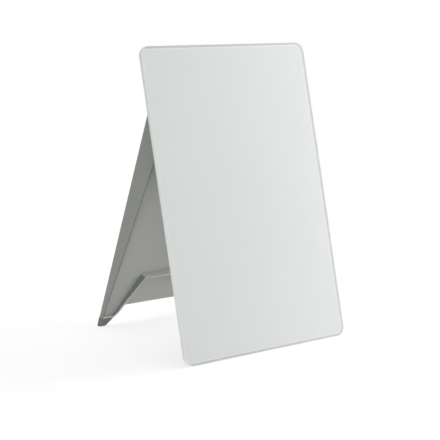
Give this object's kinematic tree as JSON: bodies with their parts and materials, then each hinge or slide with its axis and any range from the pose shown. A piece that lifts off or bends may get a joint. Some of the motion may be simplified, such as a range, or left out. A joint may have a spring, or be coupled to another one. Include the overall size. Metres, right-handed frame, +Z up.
{
  "type": "desk whiteboard easel",
  "caption": "Portrait glass magnetic writing board that stands on a desk, leaning back on a fold-out moulded rear leg with rubber boots.",
  "frame": {"origin": "on the desk, under the middle of the standing easel", "axes": "+Z up, the writing face looks towards -Y and leans back, +X to the viewer's right"},
  "size_m": [0.216, 0.1674, 0.2869],
  "materials": {
    "white_backed_glass": "polished, white backed",
    "sheet_steel": "satin",
    "foam_tape": "matt",
    "cover_abs": "fine spark texture",
    "dark_rubber": "matt",
    "cast_zinc": "satin",
    "zinc_plated_steel": "satin",
    "nylon": "smooth",
    "spring_steel": "satin",
    "leg_abs": "fine spark texture",
    "boot_rubber": "matt"
  },
  "bodies": {
    "board": {"writing_glass": "white_backed_glass", "steel_sheet": "sheet_steel", "mounting_tape": "foam_tape", "back_cover": "cover_abs", "board_foot_left": "dark_rubber", "board_foot_right": "dark_rubber", "hinge_bracket_left": "cast_zinc", "hinge_bracket_right": "cast_zinc", "bracket_screws": "zinc_plated_steel", "friction_washer_left": "nylon", "friction_washer_right": "nylon", "spring_washer_left": "spring_steel", "spring_washer_right": "spring_steel", "open_stop_pad_left": "dark_rubber", "open_stop_pad_right": "dark_rubber", "closing_pad_left": "dark_rubber", "closing_pad_right": "dark_rubber"},
    "leg": {"folding_leg": "leg_abs", "foot_boot_left": "boot_rubber", "foot_boot_right": "boot_rubber", "hinge_pin_left": "zinc_plated_steel", "hinge_pin_right": "zinc_plated_steel", "retaining_clip_left": "spring_steel", "retaining_clip_right": "spring_steel"}
  },
  "joints": [
    {"name": "leg_fold", "type": "hinge", "parent": "board", "child": "leg", "pos_m": [0, 0.0028, 0.22226], "axis": [-1, 0, 0], "range_deg": [0, 38]}
  ]
}
